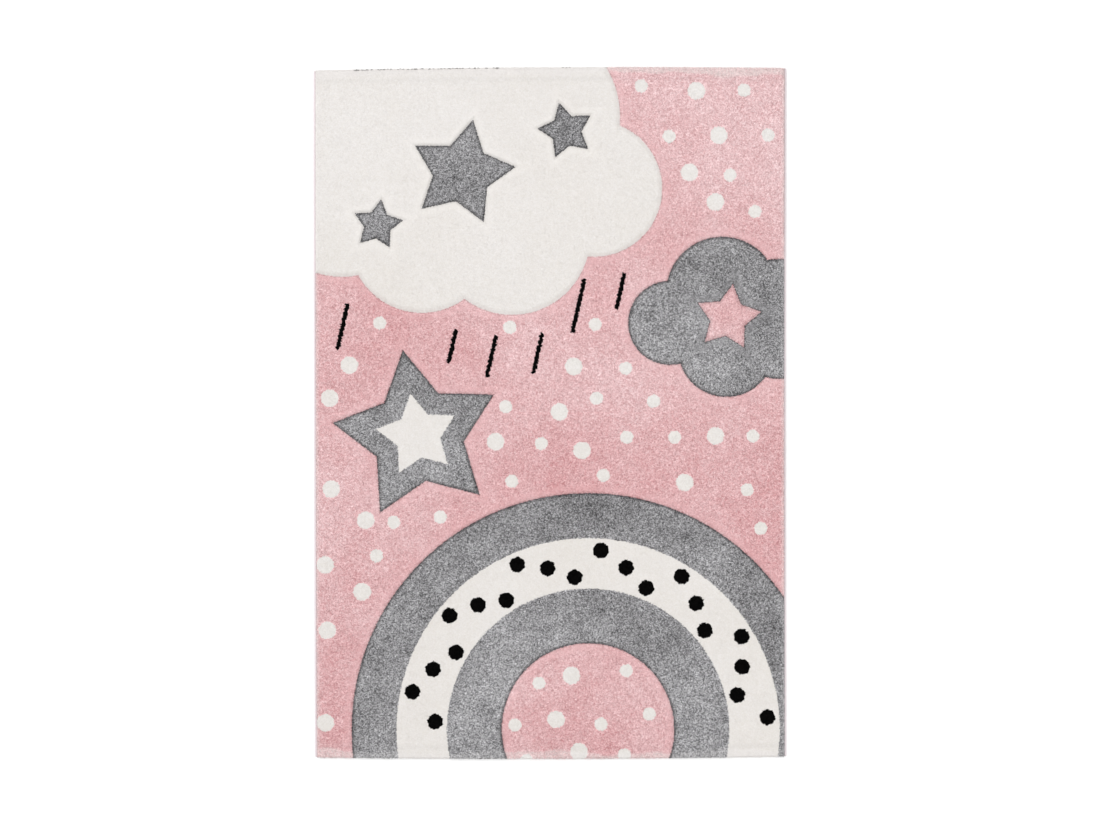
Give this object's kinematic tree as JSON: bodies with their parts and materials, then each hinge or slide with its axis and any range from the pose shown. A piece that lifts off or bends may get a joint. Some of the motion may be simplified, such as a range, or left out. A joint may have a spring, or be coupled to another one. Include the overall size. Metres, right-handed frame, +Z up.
{
  "type": "rectangular machine-woven pile rug for a child's room, with carved cloud, rainbow and star motifs",
  "caption": "Rectangular low-pile rug for a child's room, with clouds, a rainbow and stars carved into the pile and overlocked long sides; lies flat on the floor.",
  "frame": {"origin": "on the floor, under the middle of the rug", "axes": "+Z up out of the pile; +Y along the rug's length, towards the end with the cream cloud; +X across its width"},
  "size_m": [1.18, 1.726, 0.012],
  "materials": {
    "pile": "matt twisted frieze pile, cut, in blush pink with cream, heather grey and black motifs",
    "overlock_yarn": "pale mauve overlock yarn with a slight sheen, wrapped side by side"
  },
  "bodies": {
    "root": {"carpet": "pile", "overlock_left": "overlock_yarn", "overlock_right": "overlock_yarn"}
  },
  "joints": []
}
